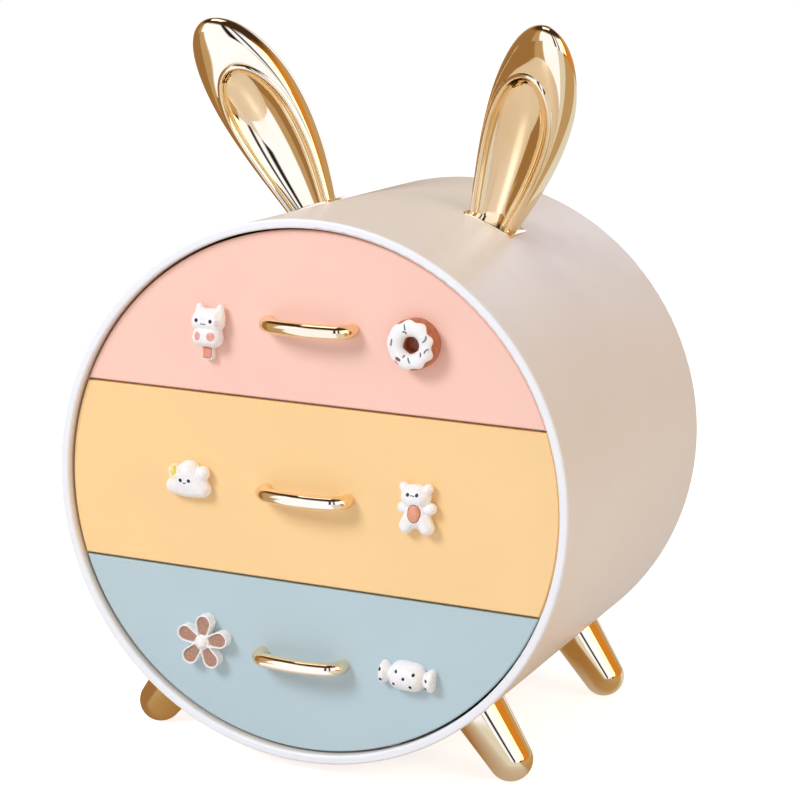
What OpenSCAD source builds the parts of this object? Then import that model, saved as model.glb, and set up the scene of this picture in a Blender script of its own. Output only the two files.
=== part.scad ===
// Desktop mini drawers: a round drum on four splayed legs, with three pull-out drawers behind
// a thin rim, bow handles, stuck-on charms and two ears with scooped fronts.
// Millimetres, +Z up, front towards -Y. The origin lies on the floor under the middle of the body.

/* [Drum] */
// Outside diameter of the drum
drum_d = 180; // [150:5:240]
// Depth of the drum, from the front rim to the back edge
drum_depth = 147.5; // [120:0.5:200]
// Wall of the drum, which shows as the front rim
drum_wall = 3; // [2.6:0.2:4]
// Rounding of the outer back edge
back_round = 2.8; // [1:0.2:4]
// Rounding of the two front edges of the rim
rim_round = 0.8; // [0.3:0.1:1.2]
// Thickness of the back cover
cover_t = 2.5; // [2:0.5:4]
// How far the back cover lies inside the back edge
cover_inset = 0.5; // [0:0.1:2]

/* [Drawers] */
// Height of the middle drawer, between the two dividing lines
band_h = 60; // [50:2:72]
// How far the drawer fronts lie inside the rim
front_recess = 2.5; // [1:0.5:6]
// Thickness of a drawer front
front_t = 2.6; // [2:0.2:4]
// Gap round each drawer front
front_gap = 0.8; // [0.4:0.1:1.5]
// Bevel along the edges of a drawer front
front_bevel = 0.4; // [0.2:0.1:0.8]
// Wall of a tray
tray_wall = 1.8; // [1.4:0.2:2.6]
// Floor of a flat tray
tray_floor = 2; // [1.6:0.2:3]
// Height of the straight sides of the top tray
top_side_h = 21.4; // [12:0.2:28]
// Radial room round the curved trays inside the drum
tray_clear = 1.6; // [1:0.1:3]
// How far a drawer pulls out before its stop
travel = 95; // [60:5:100]

/* [Shelves] */
// Thickness of the two shelves
shelf_t = 2.4; // [2:0.2:4]
// Height of the low ribs that the trays slide on
rib_h = 0.8; // [0.5:0.1:1.5]
// Running gap between a tray and what it slides on
run_gap = 0.3; // [0.2:0.1:0.6]
// Depth of the stop lugs under each shelf
lug_h = 2.2; // [1.6:0.2:4]

/* [Handles] */
// Distance between the two feet of a handle
handle_span = 29; // [24:1:60]
// Thickness of the handle's bar
handle_bar = 4.8; // [4:0.2:8]
// How far a handle stands out from the drawer front
handle_reach = 10.5; // [10:0.5:25]
// Bend radius at the handle's corners
handle_bend = 5.5; // [4:0.5:8]
// Half of the angle that the handle's bar bows through
handle_bow = 14; // [6:1:25]
// How far the top and bottom handles lie inside the middle of their fronts
handle_drop = 2.8; // [0:0.1:6]

/* [Ears] */
// Angle of each ear's foot from the top of the drum
ear_foot_a = 21.9; // [15:0.1:35]
// Distance of the ears' middle behind the front rim
ear_y = 77.4; // [40:0.1:100]
// Outward lean of the left ear
ear_lean_left = 27.3; // [10:0.1:35]
// Outward lean of the right ear
ear_lean_right = 20.2; // [10:0.1:35]
// How far the left ear turns inwards, in degrees
ear_turn_left = 0; // [-10:1:25]
// How far the right ear turns inwards, in degrees
ear_turn_right = 9; // [-10:1:25]
// Length of an ear along its middle line
ear_len = 76.3; // [50:0.1:95]
// Widest half of an ear
ear_half = 15.4; // [10:0.1:20]
// Width of the rim between the scoop and the ear's edge
ear_rim = 3.7; // [2.5:0.1:5]
// Distance from the top of the scoop to the ear's tip
ear_brow = 17.8; // [8:0.1:30]
// Forward bend of an ear from foot to tip, in degrees
ear_bend = 36.7; // [10:0.1:45]
// Depth of the scoop in an ear's front
scoop_depth = 5.4; // [2:0.2:6]
// Width of the rounded bead round the scoop
bead_w = 2.2; // [1.6:0.1:3]
// Length and width of the thin foot plate under an ear
ear_plate = [18.8, 17]; // [10:0.1:30]
// Thickness of the ear's foot plate
ear_plate_t = 0.8; // [0.6:0.1:2]

/* [Legs] */
// Angle of each leg from straight down
leg_a = 36.8; // [25:0.1:50]
// Distance from the drum's wall to the middle of a leg's round end
leg_len = 18.5; // [14:0.5:60]
// Radius of a leg's round end
leg_end_r = 7.45; // [5:0.05:12]
// Taper of a leg on each side, in degrees
leg_taper = 5.4; // [0:0.1:8]
// Distance of the front legs behind the rim
leg_front_y = 27.2; // [18:0.2:40]
// Distance of the rear legs from the drum's back edge
leg_rear_in = 20.6; // [18:0.2:40]
// Depth of the flat on which a leg stands
foot_flat = 0.4; // [0.2:0.1:1]

/* [Charms] */
// Distance of the charms from the middle, for the left and right of each drawer, top to bottom
charm_x = [[-35.3, 36.7], [-42, 39.2], [-35.2, 37.8]]; // [-60:0.1:60]
// Height of the charms above their own drawer's handle, for the left and right of each drawer
charm_rise = [[-4.6, -1.7], [-0.3, 0.3], [1.6, 0.4]]; // [-10:0.1:10]
// Thickness of the cat, cloud and sweet charms
charm_t = 5.6; // [3:0.2:8]

/* [Screws] */
// Diameter of the screw shanks
screw_d = 2.9; // [2:0.1:4]
// Diameter of the screw heads
screw_head_d = 5.6; // [4:0.1:8]
// Radial room round a shank in the pieces it passes through
screw_room = 0.15; // [0.05:0.05:0.4]

/* [Hidden] */
$fn = 96;

shell_white = [0.94, 0.92, 0.9];
pink = [1, 0.83, 0.77];
yellow = [1, 0.86, 0.62];
blue = [0.73, 0.81, 0.84];
gold = [0.93, 0.76, 0.44];
steel = [0.75, 0.76, 0.78];
cream = [0.98, 0.96, 0.92];
dough = [0.78, 0.5, 0.4];

drum_r = drum_d / 2;
inner_r = drum_r - drum_wall;
line_z = band_h / 2;
face_y = front_recess;
front_r = inner_r - front_gap;
tray_y = face_y + front_t;
leg_reach = drum_r + leg_len;
leg_rear_y = drum_depth - leg_rear_in;
axis_z = leg_reach * cos(leg_a) + leg_end_r - foot_flat;
rim_y = -(drum_depth + face_y - handle_reach) / 2;

// back cover seat and its screw bosses
seat_t = 2;
seat_w = 2.5;
cover_y = drum_depth - cover_inset - cover_t;
cover_gap = 0.2;
boss_r = 4;
boss_len = 6;
boss_bite = 0.6;
boss_rib_w = 5;
boss_shy = 0.2;
boss_at = inner_r - seat_w + boss_bite - boss_r;
boss_angles = [45, 135, 225, 315];
cover_screw_len = cover_t + 4.5;

// trays
tray_back = cover_y - boss_len - 1.5;
tray_len = tray_back - tray_y;
tray_r = inner_r - tray_clear;
tray_corner = 4;
lug_t = 2;
lug_w = 12;
lug_x = 40;
lug_gap = 1;
stop_gap = 0.5;
lug_y = tray_back - tray_wall - travel - stop_gap - lug_t;
tab_w = 14;
shelf_top = line_z + shelf_t / 2;
shelf_under = line_z - shelf_t / 2;
middle_floor_z = -shelf_under + rib_h + run_gap;
middle_top_z = shelf_under - lug_h - lug_gap;
top_floor_z = shelf_top + rib_h + run_gap;
top_side_z = top_floor_z + top_side_h;
top_half = chord(tray_r, top_side_z + 0.5);
bottom_top_z = -shelf_top - lug_h - lug_gap;
crown_lug_z = tray_r - lug_h - lug_gap;

// ledges that hold the shelves, and the shelf's own width
ledge_t = 1.8;
ledge_w = 2.7;
ledge_gap = 0.5;
ledge_in = chord(inner_r, shelf_top) - ledge_w;
middle_half = ledge_in - ledge_gap;
shelf_half = chord(inner_r, shelf_top) - 0.2;
shelf_y = tray_y + 0.5;
rib_in = 16;
rib_w = 4;
guide_h = 3;
guide_t = 1.6;
guide_gap = 0.4;
guide_x = top_half + guide_gap + guide_t / 2;
rail_a = 22;
rail_w = 4;

// handles
bar_r = handle_bar / 2;
foot_x = handle_span / 2;
corner_a = 90 - handle_bow;
bow_half = foot_x - handle_bend + handle_bend * cos(corner_a);
bow_r = bow_half / sin(handle_bow);
corner_out = handle_bend * sin(corner_a);
bow_out = bow_r * (1 - cos(handle_bow));
stub = handle_reach - bar_r - corner_out - bow_out;
handle_bore = 3.8;
handle_z = (line_z + front_gap / 2 + front_r) / 2 - handle_drop;
row_z = [handle_z, 0, -handle_z];
handle_screw_len = front_t + tray_wall + handle_bore - 0.6;
head_t = 1.8;

// countersunk screws of the ears and legs
sink_h = 1.7;
bore_r = screw_d / 2 + 0.05;
hole_r = screw_d / 2 + screw_room;
ear_bore = 8;
leg_bore = 10;
ear_screw_y = ear_y + 2;

// sections of an ear, from its middle line
ear_root = -1.6;
ear_mid = 43;
ear_base_half = 8.1;
ear_front = [4.2, 5.9];
ear_back = [5.5, 8.6];
scoop_mid = ear_mid - 7.7;
scoop_top = ear_len - ear_brow;
scoop_base_half = ear_base_half - 1.3;
scoop_half = ear_half - ear_rim;
scoop_foot_depth = 3.4;
scoop_end = scoop_top - 8.5;
scoop_roundness = 0.62;
bead_rise = 0.9;
ear_levels = 24;
back_steps = 6;
flank_steps = 4;
bead_steps = 4;
dish_steps = 5;
ear_steps = back_steps + flank_steps + bead_steps + dish_steps;

// ---- helpers -------------------------------------------------------------------------------

// Half width of a circle of radius r at a height z.
function chord(r, z) = sqrt(r * r - z * z);

// Everything is modelled about the drum's axis, with y = 0 at the front rim.
module in_drum() {
    translate([0, rim_y, axis_z]) children();
}

// Turns a shape drawn along +Z so that it runs along +Y.
module along_y() {
    rotate([-90, 0, 0]) children();
}

module both_sides() {
    for (side = [0, 1])
        mirror([side, 0, 0]) children();
}

module drum_cylinder(r, y0, y1) {
    translate([0, y0, 0]) along_y() cylinder(r = r, h = y1 - y0);
}

// Carries children, drawn along +Z from the drum's axis, to an angle from straight up and a depth.
module radially(angle, y) {
    translate([0, y, 0]) rotate([0, angle, 0]) children();
}

// A square corner with a round of radius r taken off; dir points from the corner's centre outwards.
module corner_off(at, r, dir) {
    translate([at[0] - dir[0] * r, at[1] - dir[1] * r])
        difference() {
            scale([dir[0], dir[1]]) square(r + 1);
            circle(r);
        }
}

module round_rect(x, y, r) {
    translate([r, 0]) square([x - 2 * r, y]);
    translate([0, r]) square([x, y - 2 * r]);
    for (cx = [r, x - r], cy = [r, y - r])
        translate([cx, cy]) circle(r);
}

module countersunk_hole(wall, depth) {
    cylinder(r = hole_r, h = depth);
    cylinder(r1 = screw_head_d / 2 + screw_room, r2 = hole_r, h = sink_h);
    translate([0, 0, -wall]) cylinder(r = screw_head_d / 2 + screw_room, h = wall + 0.01);
}

// A cross recess, cut into the top of a screw head that faces down.
module cross_recess() {
    for (a = [0, 90])
        rotate(a) translate([-1.4, -0.3, -0.01]) cube([2.8, 0.6, 1]);
}

module countersunk_screw(length) {
    difference() {
        union() {
            cylinder(d = screw_d, h = length);
            cylinder(d1 = screw_head_d, d2 = screw_d, h = sink_h - screw_room);
        }
        cross_recess();
    }
}

module pan_screw(length) {
    difference() {
        union() {
            cylinder(d = screw_d, h = length);
            translate([0, 0, -head_t]) cylinder(d = screw_head_d, h = head_t);
        }
        translate([0, 0, -head_t]) cross_recess();
    }
}

// ---- drum ----------------------------------------------------------------------------------

module wall_profile() {
    round_r = min(back_round, drum_wall - 0.1);
    difference() {
        union() {
            translate([inner_r, 0]) square([drum_wall, drum_depth]);
            translate([inner_r - seat_w, cover_y - seat_t]) square([seat_w + 0.5, seat_t]);
        }
        corner_off([drum_r, drum_depth], round_r, [1, 1]);
        corner_off([drum_r, 0], rim_round, [1, -1]);
        corner_off([inner_r, 0], rim_round, [-1, -1]);
    }
}

// Ledges above and below each shelf, clipped to the round wall.
module shelf_ledges() {
    intersection() {
        drum_cylinder(inner_r + drum_wall / 2, shelf_y, cover_y - seat_t / 2);
        union()
            for (side = [-1, 1], z = [-shelf_top - ledge_t, -shelf_under, shelf_under - ledge_t, shelf_top])
                translate([side > 0 ? ledge_in : -drum_r, shelf_y, z])
                    cube([drum_r - ledge_in, drum_depth, ledge_t]);
    }
}

// Two low rails on which the round bottom tray slides.
module bottom_rails() {
    for (side = [-1, 1])
        radially(180 + side * rail_a, shelf_y)
            translate([-rail_w / 2, 0, tray_r + run_gap])
                cube([rail_w, tray_len, tray_clear - run_gap + 1]);
}

// The lug in the crown that stops the top tray.
module crown_lug() {
    translate([-lug_w, lug_y, crown_lug_z])
        cube([2 * lug_w, lug_t, inner_r + 1 - crown_lug_z]);
}

// Screw bosses, which stop just short of the cover so that it seats on the ring.
module cover_bosses() {
    len = boss_len - boss_shy;
    for (a = boss_angles)
        radially(a, cover_y - boss_len) {
            translate([0, 0, boss_at]) along_y() cylinder(r = boss_r, h = len);
            translate([-boss_rib_w / 2, 0, boss_at]) cube([boss_rib_w, len, inner_r + 1 - boss_at]);
        }
}

module drum_shell() {
    in_drum() color(shell_white) difference() {
        union() {
            along_y() rotate_extrude($fn = 180) wall_profile();
            shelf_ledges();
            bottom_rails();
            crown_lug();
            cover_bosses();
        }
        for (a = boss_angles)
            radially(a, cover_y - boss_len + 1)
                translate([0, 0, boss_at]) along_y() cylinder(r = bore_r, h = boss_len);
        for (side = [-1, 1]) {
            radially(side * ear_foot_a, ear_screw_y)
                translate([0, 0, inner_r]) countersunk_hole(1, drum_wall + 1);
            for (y = [leg_front_y, leg_rear_y])
                radially(180 + side * leg_a, y)
                    translate([0, 0, inner_r]) countersunk_hole(1, drum_wall + 1);
        }
    }
}

module back_cover() {
    in_drum() color(shell_white) difference() {
        drum_cylinder(inner_r - cover_gap, cover_y, cover_y + cover_t, $fn = 180);
        for (a = boss_angles)
            radially(a, cover_y + cover_t)
                translate([0, 0, boss_at]) rotate([90, 0, 0]) countersunk_hole(1, cover_t + 1);
    }
}

module back_cover_screws() {
    in_drum() color(steel)
        for (a = boss_angles)
            radially(a, cover_y + cover_t)
                translate([0, 0, boss_at]) rotate([90, 0, 0]) countersunk_screw(cover_screw_len);
}

// ---- shelves -------------------------------------------------------------------------------

module shelf(top_z, tray_half) {
    end_y = cover_y - seat_t;
    translate([-shelf_half, shelf_y, top_z - shelf_t])
        cube([2 * shelf_half, end_y - shelf_y, shelf_t]);
    for (side = [-1, 1]) {
        translate([side * (tray_half - rib_in) - rib_w / 2, shelf_y + 2, top_z - 0.5])
            cube([rib_w, tray_len - 4, rib_h + 0.5]);
        translate([side * lug_x - lug_w / 2, lug_y, top_z - shelf_t - lug_h])
            cube([lug_w, lug_t, lug_h + 0.5]);
    }
}

module upper_shelf() {
    in_drum() color(shell_white) {
        shelf(shelf_top, top_half);
        for (side = [-1, 1])
            translate([side * guide_x - guide_t / 2, shelf_y + 2, shelf_top - 0.5])
                cube([guide_t, tray_len - 4, guide_h + 0.5]);
    }
}

module lower_shelf() {
    in_drum() color(shell_white) shelf(-shelf_under, middle_half);
}

// ---- trays ---------------------------------------------------------------------------------

// Tabs on a tray's back wall that meet the lugs under the shelf above.
module stop_tabs(top_z) {
    for (side = [-1, 1])
        translate([side * lug_x - tab_w / 2, tray_back - tray_wall, top_z - 1])
            cube([tab_w, tray_wall, lug_h + 1]);
}

module screw_holes(z, depth) {
    for (side = [-1, 1])
        translate([side * foot_x, face_y - 1, z]) along_y() cylinder(r = hole_r, h = depth);
}

module flat_tray(half, floor_z, side_z) {
    difference() {
        translate([-half, tray_y, floor_z]) cube([2 * half, tray_len, side_z - floor_z]);
        translate([tray_wall - half, tray_y + tray_wall, floor_z + tray_floor])
            linear_extrude(side_z - floor_z)
                round_rect(2 * (half - tray_wall), tray_len - 2 * tray_wall, tray_corner);
    }
}

// The arched ends of the top tray follow the drum.
module arched_end(y) {
    intersection() {
        drum_cylinder(tray_r, y, y + tray_wall);
        translate([-top_half, y, top_floor_z]) cube([2 * top_half, tray_wall, tray_r]);
    }
}

module top_tray() {
    in_drum() color(pink) difference() {
        union() {
            flat_tray(top_half, top_floor_z, top_side_z);
            arched_end(tray_y);
            arched_end(tray_back - tray_wall);
        }
        screw_holes(handle_z, front_t + tray_wall + 2);
    }
}

module middle_tray() {
    in_drum() color(yellow) difference() {
        union() {
            flat_tray(middle_half, middle_floor_z, middle_top_z);
            stop_tabs(middle_top_z);
        }
        screw_holes(0, front_t + tray_wall + 2);
    }
}

// A trough with the drum's own curve.
module bottom_tray() {
    in_drum() color(blue) difference() {
        union() {
            difference() {
                drum_cylinder(tray_r, tray_y, tray_back);
                drum_cylinder(tray_r - tray_wall, tray_y + tray_wall, tray_back - tray_wall);
                translate([-drum_r, 0, bottom_top_z]) cube([drum_d, drum_depth, drum_d]);
            }
            stop_tabs(bottom_top_z);
        }
        screw_holes(-handle_z, front_t + tray_wall + 2);
    }
}

// ---- fronts and handles --------------------------------------------------------------------

// A slice of a bevelled disc between two heights; z0 or z1 past the disc leaves that side round.
module front_panel(z0, z1, screw_z) {
    back = face_y + front_t;
    difference() {
        intersection() {
            translate([0, face_y, 0]) along_y() rotate_extrude($fn = 180)
                polygon([[0, 0], [front_r - front_bevel, 0], [front_r, front_bevel],
                    [front_r, front_t], [0, front_t]]);
            translate([-drum_r, 0, 0]) rotate([90, 0, 90]) linear_extrude(drum_d)
                polygon([[face_y, z0 + front_bevel], [face_y + front_bevel, z0], [back + 1, z0],
                    [back + 1, z1], [face_y + front_bevel, z1], [face_y, z1 - front_bevel]]);
        }
        screw_holes(screw_z, front_t + 2);
    }
}

module top_front() {
    in_drum() color(pink) front_panel(line_z + front_gap / 2, drum_r, handle_z);
}

module middle_front() {
    in_drum() color(yellow) front_panel(-line_z + front_gap / 2, line_z - front_gap / 2, 0);
}

module bottom_front() {
    in_drum() color(blue) front_panel(-drum_r, -line_z - front_gap / 2, -handle_z);
}

module handle_foot() {
    translate([foot_x, 0, 0]) rotate([90, 0, 0]) cylinder(r = bar_r, h = stub);
}

module handle_corner() {
    translate([foot_x - handle_bend, -stub, 0]) rotate([0, 0, -corner_a])
        rotate_extrude(angle = corner_a) translate([handle_bend, 0]) circle(bar_r);
}

module handle_bar_bow() {
    translate([0, bow_r * cos(handle_bow) - stub - corner_out, 0]) rotate([0, 0, -90 - handle_bow])
        rotate_extrude(angle = 2 * handle_bow) translate([bow_r, 0]) circle(bar_r);
}

// A bow pull: two feet, two bent corners and a bowed bar, all of one round section.
module handle(z) {
    translate([0, face_y, z]) difference() {
        union() {
            both_sides() handle_foot();
            both_sides() handle_corner();
            handle_bar_bow();
        }
        both_sides()
            translate([foot_x, 0.01, 0]) rotate([90, 0, 0]) cylinder(r = bore_r, h = handle_bore);
    }
}

module handle_screws(z) {
    for (side = [-1, 1])
        translate([side * foot_x, tray_y + tray_wall, z]) rotate([90, 0, 0]) pan_screw(handle_screw_len);
}

module top_handle() {
    in_drum() color(gold) handle(handle_z);
}

module middle_handle() {
    in_drum() color(gold) handle(0);
}

module bottom_handle() {
    in_drum() color(gold) handle(-handle_z);
}

module top_handle_screws() {
    in_drum() color(steel) handle_screws(handle_z);
}

module middle_handle_screws() {
    in_drum() color(steel) handle_screws(0);
}

module bottom_handle_screws() {
    in_drum() color(steel) handle_screws(-handle_z);
}

// ---- charms --------------------------------------------------------------------------------
// Each charm is drawn on the plane y = 0 with x right and z up, and grows towards -Y.

module on_front(row, column) {
    in_drum()
        translate([charm_x[row][column], face_y, row_z[row] + charm_rise[row][column]]) children();
}

// Cuts off what would sink into the drawer front.
module flat_backed() {
    difference() {
        children();
        translate([-20, 0, -20]) cube([40, 20, 40]);
    }
}

// A rounded blob through balls given as [x, z, radius], each centred at a depth.
module pillow(balls, depth) {
    hull()
        for (b = balls)
            translate([b[0], -depth, b[1]]) sphere(b[2], $fn = 20);
}

// A ball at [x, z] of a charm, centred at a depth.
module ball(x, z, r, depth) {
    translate([x, -depth, z]) sphere(r, $fn = 48);
}

// A stick with a cat's head and body, as on a frozen treat.
module cat_charm() {
    body_r = 3.1;
    body_half = 2.3;
    head_half = 2.8;
    ear_h = 4.2;
    stick_half = 1.7;
    stick_t = 2.6;
    stick_end = -9.3;
    on_front(0, 0) color(cream) flat_backed() {
        pillow([[-body_half, -2.2, body_r], [body_half, -2.2, body_r],
            [-1.9, -0.9, body_r], [2.1, -0.9, body_r]], charm_t - body_r);
        pillow([[-head_half, 3, body_r], [head_half, 3, body_r], [-2, 4.6, 3], [2.4, 4.6, 3]],
            charm_t - body_r);
        for (ear = [[-2.6, -10], [3.4, 10]])
            translate([ear[0], -2.2, 4.4]) rotate([0, ear[1], 0]) {
                cylinder(r1 = 2.5, r2 = 0.7, h = ear_h, $fn = 48);
                translate([0, 0, ear_h - 0.2]) sphere(0.8, $fn = 48);
            }
        translate([-stick_half, -stick_t, stick_end]) rotate([-90, 0, 0]) translate([0, -5, 0])
            linear_extrude(stick_t) round_rect(2 * stick_half, 5, 0.9, $fn = 48);
    }
}

// The ring's hole is blind: a thin floor closes it at the back.
module donut_charm() {
    ring_r = 5.4;
    dough_r = 2.8;
    dough_at = 3.6;
    skirt_in = 0.2;
    floor_t = 0.6;
    icing_lift = 0.25;
    icing_h = 4;
    icing_t = 0.15;
    icing_r = 7.2;
    wave_r = 1.5;
    waves = 9;
    on_front(0, 1) flat_backed() {
        color(dough) translate([0, -dough_at, 0]) along_y()
            rotate_extrude() translate([ring_r, 0]) circle(dough_r);
        color(dough) translate([0, -dough_at, 0]) along_y() difference() {
            cylinder(r = ring_r + dough_r - skirt_in, h = dough_at);
            translate([0, 0, -1]) cylinder(r = ring_r - dough_r + skirt_in, h = dough_at + 1 - floor_t);
        }
        color(cream) intersection() {
            translate([0, -dough_at - icing_lift, 0]) along_y()
                rotate_extrude() translate([ring_r, 0]) circle(dough_r + icing_t);
            translate([0, -dough_at - 0.4, 0]) rotate([90, 0, 0]) {
                cylinder(r = icing_r, h = icing_h);
                for (k = [0 : waves - 1])
                    rotate(k * 360 / waves) translate([icing_r - 0.7, 0, 0])
                        cylinder(r = wave_r, h = icing_h, $fn = 24);
            }
        }
    }
}

module cloud_charm() {
    lobe_r = 3;
    crown_r = 4;
    on_front(1, 0) color(cream) flat_backed() {
        pillow([[-4.9, -1.6, lobe_r], [5.2, -1.8, lobe_r], [0, -2.2, lobe_r], [0.2, 3.4, crown_r]],
            charm_t - crown_r);
        ball(5.3, 3.5, 2.5, 2);
        ball(-4.6, 3.1, 2.6, 1.8);
    }
}

// Head, body and seat in the middle, then ears, paws and feet on both sides.
module bear_charm() {
    on_front(1, 1) color(cream) flat_backed() {
        ball(-1.7, 4.3, 3.8, 1.6);
        ball(0.9, 4.4, 3.8, 1.6);
        ball(0.1, 0, 4.2, 0.9);
        ball(0.2, -1.9, 4.3, 1);
        ball(-4.4, 7.3, 1.7, 1.9);
        ball(3.8, 7.4, 1.7, 1.9);
        ball(-4.6, 0.6, 1.9, 2);
        ball(4.9, 1.1, 2, 2);
        ball(-3.2, -5.3, 2.5, 2.2);
        ball(3.8, -5.1, 2.6, 2.2);
    }
}

// Two circles joined by straight sides, which run just inside the circles' tangents.
module teardrop(x1, r1, x2, r2) {
    tuck = 0.97;
    a = acos((r1 - r2) / (x2 - x1));
    for (c = [[x1, r1], [x2, r2]])
        translate([c[0], 0]) circle(c[1]);
    polygon([[x1, -r1 * tuck * sin(a)], [x2, -r2 * tuck * sin(a)],
        [x2, r2 * tuck * sin(a)], [x1, r1 * tuck * sin(a)]]);
}

module petal(thick) {
    recess = 0.9;
    rim = 0.6;
    root = 2.6;
    recess_root = 3.9;
    root_r = 1.7;
    end_r = 2.8;
    middle = 6.6;
    difference() {
        linear_extrude(thick) teardrop(root, root_r, middle, end_r);
        translate([0, 0, thick - recess])
            linear_extrude(2) teardrop(recess_root, root_r - rim, middle, end_r - rim);
    }
}

module flower_charm() {
    petals = 5;
    petal_t = 4.2;
    first_a = 14;
    dome_r = 2.3;
    dome_sunk = 1;
    hub_over = 0.3;
    on_front(2, 0) color(cream) rotate([90, 0, 0]) {
        for (k = [0 : petals - 1])
            rotate(k * 360 / petals + first_a) petal(petal_t);
        cylinder(r = dome_r + hub_over, h = petal_t - hub_over);
        translate([0, 0, petal_t - dome_sunk]) sphere(dome_r);
    }
}

// A wrapped sweet, halved along its length: a barrel with a twisted neck and a fan at each end.
module candy_charm() {
    barrel_r = 4.8;
    barrel_len = 11.2;
    barrel_round = 6.4;
    neck_r = 2.6;
    neck_at = 3.4;
    fan_r = 4;
    tilt = 3;
    on_front(2, 1) color(cream) flat_backed()
        translate([0, barrel_r - charm_t, 0]) rotate([0, 90 + tilt, 0]) {
            intersection() {
                sphere(barrel_round);
                cylinder(r = barrel_r, h = barrel_len, center = true);
            }
            for (side = [0, 1])
                mirror([0, 0, side]) translate([0, 0, neck_at]) {
                    cylinder(r = neck_r, h = 2.6);
                    translate([0, 0, 2]) cylinder(r1 = 2, r2 = fan_r, h = 2.2);
                    translate([0, 0, 4.2]) cylinder(r1 = fan_r, r2 = fan_r - 0.7, h = 1.8);
                }
        }
}

// ---- ears ----------------------------------------------------------------------------------
// The ear's skin is a grid. Its levels run from the foot (q = 0) to the tip (q = 1) and its steps
// from the middle of the back, round the edge, over the flank and the bead, to the scoop's middle.

// Half width that swells from a foot to a widest part at q = 0.5 and closes like an ellipse.
function swell(foot, widest, q) =
    q < 0.5 ? foot + (widest - foot) * sin(180 * q) : widest * cos(180 * (q - 0.5));

// Distance along the ear that goes with it.
function along(mid, top, q) =
    q < 0.5 ? ear_root + (mid - ear_root) * 2 * q : mid + (top - mid) * sin(180 * (q - 0.5));

function between(a, b, t) = a + (b - a) * t;

// Share of the way from the foot's value to the widest part's.
function grown(q) = sin(180 * min(q, 0.5));
function front_at(q) = between(ear_front[0], ear_front[1], grown(q));

// Outline, or scoop edge grown by d, as [across, out, along].
function outline_at(q) = [swell(ear_base_half, ear_half, q), 0, along(ear_mid, ear_len, q)];
function scoop_at(q, d) =
    [swell(scoop_base_half + d, scoop_half + d, q), front_at(q), along(scoop_mid, scoop_top + d, q)];

function back_point(q, t) =
    let (edge = outline_at(q), deep = swell(ear_back[0], ear_back[1], q))
    [edge[0] * sin(90 * t), -deep * cos(90 * t), edge[2]];

function flank_point(q, t) =
    let (edge = outline_at(q), lip = scoop_at(q, bead_w / 2), e = 1 - cos(90 * t))
    [between(edge[0], lip[0], e), front_at(q) * sin(90 * t), between(edge[2], lip[2], e)];

function bead_point(q, t) = scoop_at(q, bead_w / 2 * (1 - 2 * t)) + [0, bead_rise * sin(180 * t), 0];

// The dish is half of an egg above the scoop's widest part and a trough that narrows below it.
function dish_point(q, t) =
    let (lip = scoop_at(q, -bead_w / 2),
        x = lip[0] * cos(90 * t),
        z = between(lip[2], along(scoop_mid, scoop_end, q), pow(1 - cos(90 * t), 2)),
        across = q < 0.5 ? cos(90 * t) : x / (scoop_half - bead_w / 2),
        upwards = q < 0.5 ? 0 : (z - scoop_mid) / (scoop_top - bead_w / 2 - scoop_mid),
        inside = max(0, 1 - across * across - upwards * upwards),
        deep = between(scoop_foot_depth, scoop_depth, grown(q)))
    [x, front_at(q) - deep * pow(inside, scoop_roundness), z];

function ear_skin(q, j) =
    j <= back_steps ? back_point(q, j / back_steps)
    : j <= back_steps + flank_steps ? flank_point(q, (j - back_steps) / flank_steps)
    : j <= ear_steps - dish_steps ? bead_point(q, (j - back_steps - flank_steps) / bead_steps)
    : dish_point(q, (j - ear_steps + dish_steps) / dish_steps);

// Turns a skin point inwards and lays it along the forward-bending middle line.
function bent(p, turn) =
    let (x = p[0] * cos(turn) - p[1] * sin(turn),
        out = p[0] * sin(turn) + p[1] * cos(turn),
        bend_r = ear_len / (ear_bend * PI / 180),
        a = p[2] / ear_len * ear_bend)
    [x, -(bend_r * (1 - cos(a)) + out * cos(a)), bend_r * sin(a) - out * sin(a)];

// Number of a grid point. Both halves share the points that lie on the middle.
function ear_index(i, j, half) =
    i == ear_levels && j <= back_steps ? ear_levels * (ear_steps + 1) + back_steps
    : (half == 0 || j == 0 || j == ear_steps || i == ear_levels) ? i * (ear_steps + 1) + j
    : (ear_levels + 1) * (ear_steps + 1) + i * (ear_steps + 1) + j;

module ear_loft(turn) {
    points = [for (half = [0, 1], i = [0 : ear_levels], j = [0 : ear_steps])
        let (p = ear_skin(i / ear_levels, j)) bent([half == 0 ? p[0] : -p[0], p[1], p[2]], turn)];
    quads = [for (half = [0, 1], i = [0 : ear_levels - 1], j = [0 : ear_steps - 1])
        let (a = ear_index(i, j, half), b = ear_index(i, j + 1, half),
            c = ear_index(i + 1, j + 1, half), d = ear_index(i + 1, j, half))
        half == 0 ? [a, b, c, d] : [d, c, b, a]];
    skin = [for (f = quads, t = [[f[0], f[1], f[2]], [f[0], f[2], f[3]]])
        if (t[0] != t[1] && t[1] != t[2] && t[2] != t[0]) t];
    foot = concat([for (j = [ear_steps : -1 : 0]) ear_index(0, j, 0)],
        [for (j = [1 : ear_steps - 1]) ear_index(0, j, 1)]);
    polyhedron(points = points, faces = concat(skin, [foot]));
}

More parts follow.
